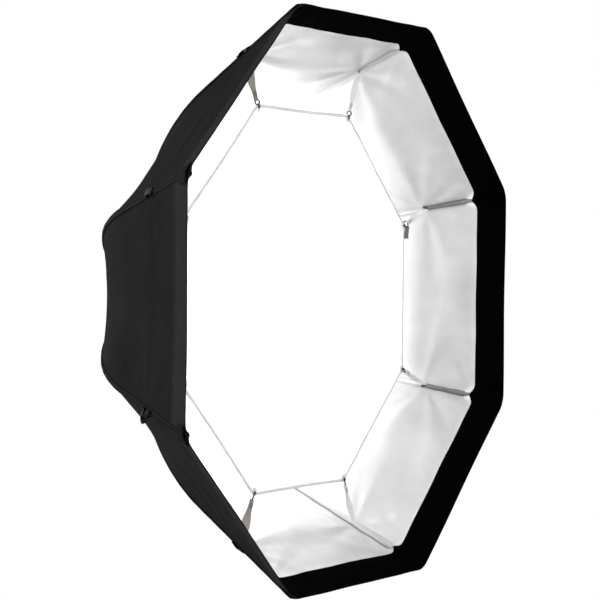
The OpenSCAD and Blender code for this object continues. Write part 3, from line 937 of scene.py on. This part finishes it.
def build_diffuser():
    nr, na = 40, 17
    # the hem turned over the edge: share of the way to the edge, and lift off the cloth
    turned = [(0.982, -0.25), (0.984, -0.75), (0.999, -0.75), (1.001, -0.3), (1.001, 0.3), (0.999, 0.75),
              (0.984, 0.75), (0.982, 0.25)]
    Q, B = np.meshgrid(np.linspace(0, 1, nr), np.linspace(-1, 1, na), indexing="ij")
    for n in range(1, SIDES + 1):
        a = rib_angle(n)
        pile = Pile()
        p = diffuser_points(a, Q, B, 0)
        pile.add(p.reshape(-1, 3), grid_faces(nr, na), p[..., [0, 2]].reshape(-1, 2))
        ruffle = 0.35 * np.sin(np.linspace(0, 40 + n, na))
        hem = np.stack([diffuser_points(a, q, B[0], lift - ruffle) for q, lift in turned], 1).reshape(-1, 3)
        pile.add(hem, grid_faces(na, len(turned), closed=True), hem[:, [0, 2]], 1)
        o = pile.object(f"diffuser_cloth_{n}", ["diffuser", "hem"])
        me = o.data
        nor = diffuser_normals(p[..., 0], p[..., 2])
        if np.mean([q.normal.y for q in me.polygons[:50]]) > 0:
            nor = -nor
        vertex, count = loop_vertices(me), nr * na
        own = np.array([c.vector for c in me.corner_normals])
        given = np.where((vertex < count)[:, None], nor[np.minimum(vertex, count - 1)], own)
        me.normals_split_custom_set(given.tolist())
        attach(o, f"baffle_{n}")
        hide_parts(f"diffuser_{n}")
        u = turn(np.array([0.0, 0.0, 1.0]), a)
        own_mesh(o)


def torus(centre, axis_u, axis_v, big, small, nb=28, ns=10):
    """A ring round centre in the plane of two axes. Returns verts and faces."""
    w = np.cross(axis_u, axis_v)
    v = []
    for x in np.linspace(0, 2 * np.pi, nb, endpoint=False):
        d = np.cos(x) * np.asarray(axis_u) + np.sin(x) * np.asarray(axis_v)
        for y in np.linspace(0, 2 * np.pi, ns, endpoint=False):
            v.append(np.asarray(centre) + d * (big + small * np.cos(y)) + w * small * np.sin(y))
    f = []
    for i in range(nb):
        here, there = i * ns, (i + 1) % nb * ns
        for j in range(ns):
            f.append((here + j, here + (j + 1) % ns, there + (j + 1) % ns, there + j))
    return np.array(v), f


def strap_band(tilt, way, near, far):
    """The strap's webbing as a closed band, near and far wide, turned to the side way; its end follows
    the rod's slope."""
    rows, cols = 40, 9
    t = np.linspace(0, 1, rows)
    wide = near + (far - near) * smooth(0.05, 0.6, t)
    turned = np.radians(6 * tilt) + np.radians(80 + 6 * tilt) * smooth(0.1, 0.85, t)
    x0 = DIFF_R + 12.0
    v, uv = [], []
    for face in (1, -1):
        for k in range(rows):
            across = np.array([0, way * math.sin(turned[k]), math.cos(turned[k])])
            outwards = np.array([0, -math.cos(turned[k]), way * math.sin(turned[k])])
            bow = math.sin(math.pi * t[k])
            for c in np.linspace(-1, 1, cols):
                off = across * c * wide[k] / 2 + outwards * face * 0.6 * (1 - 0.75 * abs(c) ** 6)
                x1 = TAB_X + 1.0 - off[1] * math.tan(math.radians(FRONT_SLOPE))
                v.append(np.array([x0 + (x1 - x0) * t[k], DIFF_Y + 0.9 * bow, 0.6 * tilt * bow]) + off)
                uv.append((c * wide[k] / 2, t[k] * (TAB_X - DIFF_R)))
    n = rows * cols
    f = grid_faces(rows, cols) + grid_faces(rows, cols, n, flip=True)
    for k in range(rows - 1):
        for a in (k * cols, k * cols + cols - 1):
            f.append((a, a + cols, n + a + cols, n + a))
    for c in range(cols - 1):
        for a in (c, (rows - 1) * cols + c):
            f.append((a, a + 1, n + a + 1, n + a))
    return np.array(v), f, np.array(uv)


def strap_web(n, a, tilt):
    """The strap, gathered at the ring and turned on edge where it is sewn under the rod."""
    # straps 3 and 6 take the darker copy of the white webbing: painted shade
    near, far, mat = (13, 18, "web_white_painted_shade") if n in PAINTED_SHADE_STRAPS else (8, 12, "web_white")
    q = np.linspace(0, 1, 15)
    loop = np.stack([DIFF_R + 13 - 5.5 * np.sin(np.pi * q), DIFF_Y - 2.3 * np.cos(np.pi * q), 0 * q], -1)
    tail = np.stack([np.linspace(DIFF_R + 12, DIFF_R + 28, 8), np.full(8, DIFF_Y - 2.0),
                     np.full(8, 0.5 * tilt)], -1)
    pile = Pile()
    for v, f, uv in (strap_band(tilt, 1 if n < 5 else -1, near, far),
                     ribbon(loop, np.cross(np.gradient(loop, axis=0), (0, 0, 1.0)), 9, WEB_THICK),
                     ribbon(tail, (0, -1.0, 0), 9, WEB_THICK)):
        pile.add(turn(v, a), f, uv)
    # box stitch
    for z in (-2.8, 0, 2.8):
        x = np.linspace(DIFF_R + 15, DIFF_R + 26, 9)
        path = np.stack([x, np.full(9, DIFF_Y - 2.7), np.full(9, z)], -1)
        v, f, uv = sweep(path, 0.35, 5)
        pile.add(turn(v, a), f, uv, 1)
    o = fix_normals(pile.object(f"strap_web_{n}", [mat, "thread"]))
    sharp(o, 55)
    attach(o, f"baffle_{n}")
    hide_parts(f"strap_{n}")


def snap_ring(n, a, tilt):
    """The dark snap ring and its stub through the diffuser's corner."""
    turned = 0.5 + 0.35 * tilt
    big = 6.4 if n == LOOSE_TAIL else 4.6
    pile = Pile()
    plane = (1, 0, 0), (0, math.sin(turned), math.cos(turned))
    v, f = torus((DIFF_R + 3.5, DIFF_Y - 1.4, 0), *plane, big, 1.5)
    pile.add(turn(v, a), f)
    q = np.linspace(0, 1, 12)
    stub = np.stack([DIFF_R - 1.5 - 7 * q, DIFF_Y - 2.6 - 1.2 * np.sin(np.pi * q), -2.2 * tilt * q], -1)
    v, f, uv = sweep(stub, np.linspace(2.1, 1.5, 12), 10)
    pile.add(turn(v, a), f, uv)
    o = fix_normals(pile.object(f"snap_ring_{n}", ["gun"]))
    sharp(o, 50)
    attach(o, f"baffle_{n}")


def strap_tail(a):
    """The adjuster's loose end, which hangs down from the first strap."""
    q = np.linspace(0, 1, 14)
    x, z = DIFF_R * cos(a) + 5 - 3 * q, DIFF_R * sin(a) - 3 - 27 * q
    path = np.stack([x, DIFF_Y - 4.0 + 1.2 * np.sin(3 * q), z], -1)
    v, f, uv = ribbon(path, (-0.8, -0.6, 0), 10, 1.4)
    end = fix_normals(make_object("strap_tail_1", v, f, ["grey_web_and_sleeve_shade"], uvs=uv))
    sharp(end, 55)
    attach(end, "baffle_1")


def corner_tab(n, a):
    """The cloth tab that holds the diffuser's corner."""
    q = np.linspace(0, 1, 10)
    path = np.stack([DIFF_R - 16 + 15 * q, np.full(10, DIFF_Y - 1.5), 0 * q], -1)
    v, f, uv = ribbon(path, (0, -1.0, 0), 13, 1.0)
    o = fix_normals(make_object(f"corner_tab_{n}", turn(v, a), f, ["hem"], uvs=uv))
    sharp(o, 55)
    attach(o, f"baffle_{n}")


def build_straps():
    for n in range(1, SIDES + 1):
        a = rib_angle(n)
        tilt = np.random.default_rng(70 + n).uniform(-1, 1)
        strap_web(n, a, tilt)
        snap_ring(n, a, tilt)
        if n == LOOSE_TAIL:
            strap_tail(a)
        corner_tab(n, a)


# ---- mount and ring -----------------------------------------------------------------
def build_skirt():
    """The elastic skirt that runs from the ring's collar over the cover's rear hem."""
    rows, cols = 21, 41
    knots = (0, 0.3, 0.65, 0.8, 1)
    depths = (-4.5, -9.5, REAR_Y + 2.2, REAR_Y + 1.1, REAR_Y - 1.4)
    for n in range(1, SIDES + 1):
        a = rib_angle(n)
        v, uv = [], []
        for q in np.linspace(0, 1, rows):
            swell = math.sin(math.pi * min(1, max(0, q - 0.25) / 0.5))
            for rel in np.linspace(-HALF, HALF, cols):
                hem_r = REAR_R * cos(HALF) / cos(HALF - abs(rel))
                radii = (86.3, 86.5, hem_r + 0.8, hem_r + 2.4, hem_r + 7)
                gather = math.sin(math.radians((a + rel) * 56)) * (0.9 * swell + 0.25 * smooth(0.7, 0.9, q))
                r = np.interp(q, knots, radii) + 1.6 * swell + gather
                y = np.interp(q, knots, depths)
                v.append((r * cos(rel), y, r * sin(rel)))
                uv.append((r * math.radians(rel), -y))
        faces = grid_faces(rows, cols)
        o = make_object(f"rear_skirt_{n}", turn(np.array(v), a), faces, ["tape"], uvs=np.array(uv))
        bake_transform(o)


def node_material(name, mat):
    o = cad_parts[name]
    o.data.materials.clear()
    o.data.materials.append(MATS[mat])


def rounded_copy(name, new, mat, body):
    """The node's own shape with its edges eased."""
    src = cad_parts[name]
    me = src.data.copy()
    o = bpy.data.objects.new(new, me)
    o.matrix_world = src.matrix_world.copy()
    bpy.context.collection.objects.link(o)
    bm = bmesh.new()
    bm.from_mesh(me)
    bmesh.ops.remove_doubles(bm, verts=bm.verts, dist=1e-6)
    bmesh.ops.dissolve_limit(bm, angle_limit=math.radians(0.5), verts=bm.verts, edges=bm.edges)
    bm.to_mesh(me)
    bm.free()
    me.materials.clear()
    me.materials.append(MATS[mat])
    b = o.modifiers.new("ease", "BEVEL")
    b.width = EDGE_EASE * MM
    b.segments = 2
    b.limit_method = "ANGLE"
    b.angle_limit = math.radians(40)
    w = o.modifiers.new("flat", "WEIGHTED_NORMAL")
    w.keep_sharp = False
    me.polygons.foreach_set("use_smooth", np.full(len(me.polygons), True))
    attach(o, body)
    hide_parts(name)


def build_ring():
    for name, mat in (("insert_screws", "steel"), ("retainer_screws", "steel"), ("friction_liner", "liner"),
                      ("hinge_pins", "steel"), ("detent_plungers", "brass"), ("knob_stud", "steel")):
        node_material(name, mat)
    for name, new, mat, body, slot_name in (
            ("mount_insert", "mount_flange", "alu", "mount", "mount_metal"),
            ("carrier_ring", "mount_sleeve", "alu", "mount", "mount_metal"),
            ("retainer_ring", "mount_retainer", "ring_black", "mount", "ring_black"),
            ("speed_ring", "ring_plate", "ring_black", "ring", "ring_black"),
            ("rear_collar", "ring_collar", "rubber", "ring", "collar"),
            ("lock_knob", "knob_grip", "knob", "knob", "knob")):
        rounded_copy(name, new, mat, body)
    for n in range(1, SIDES + 1):
        node_material(f"knuckle_{n}", "ring_black")


# ---- run ----------------------------------------------------------------------
make_materials()
aim_camera()
build_panels()
build_ribs()
build_seams()
build_diffuser()
build_straps()
build_ring()
build_skirt()
lay_floor()
light_studio()
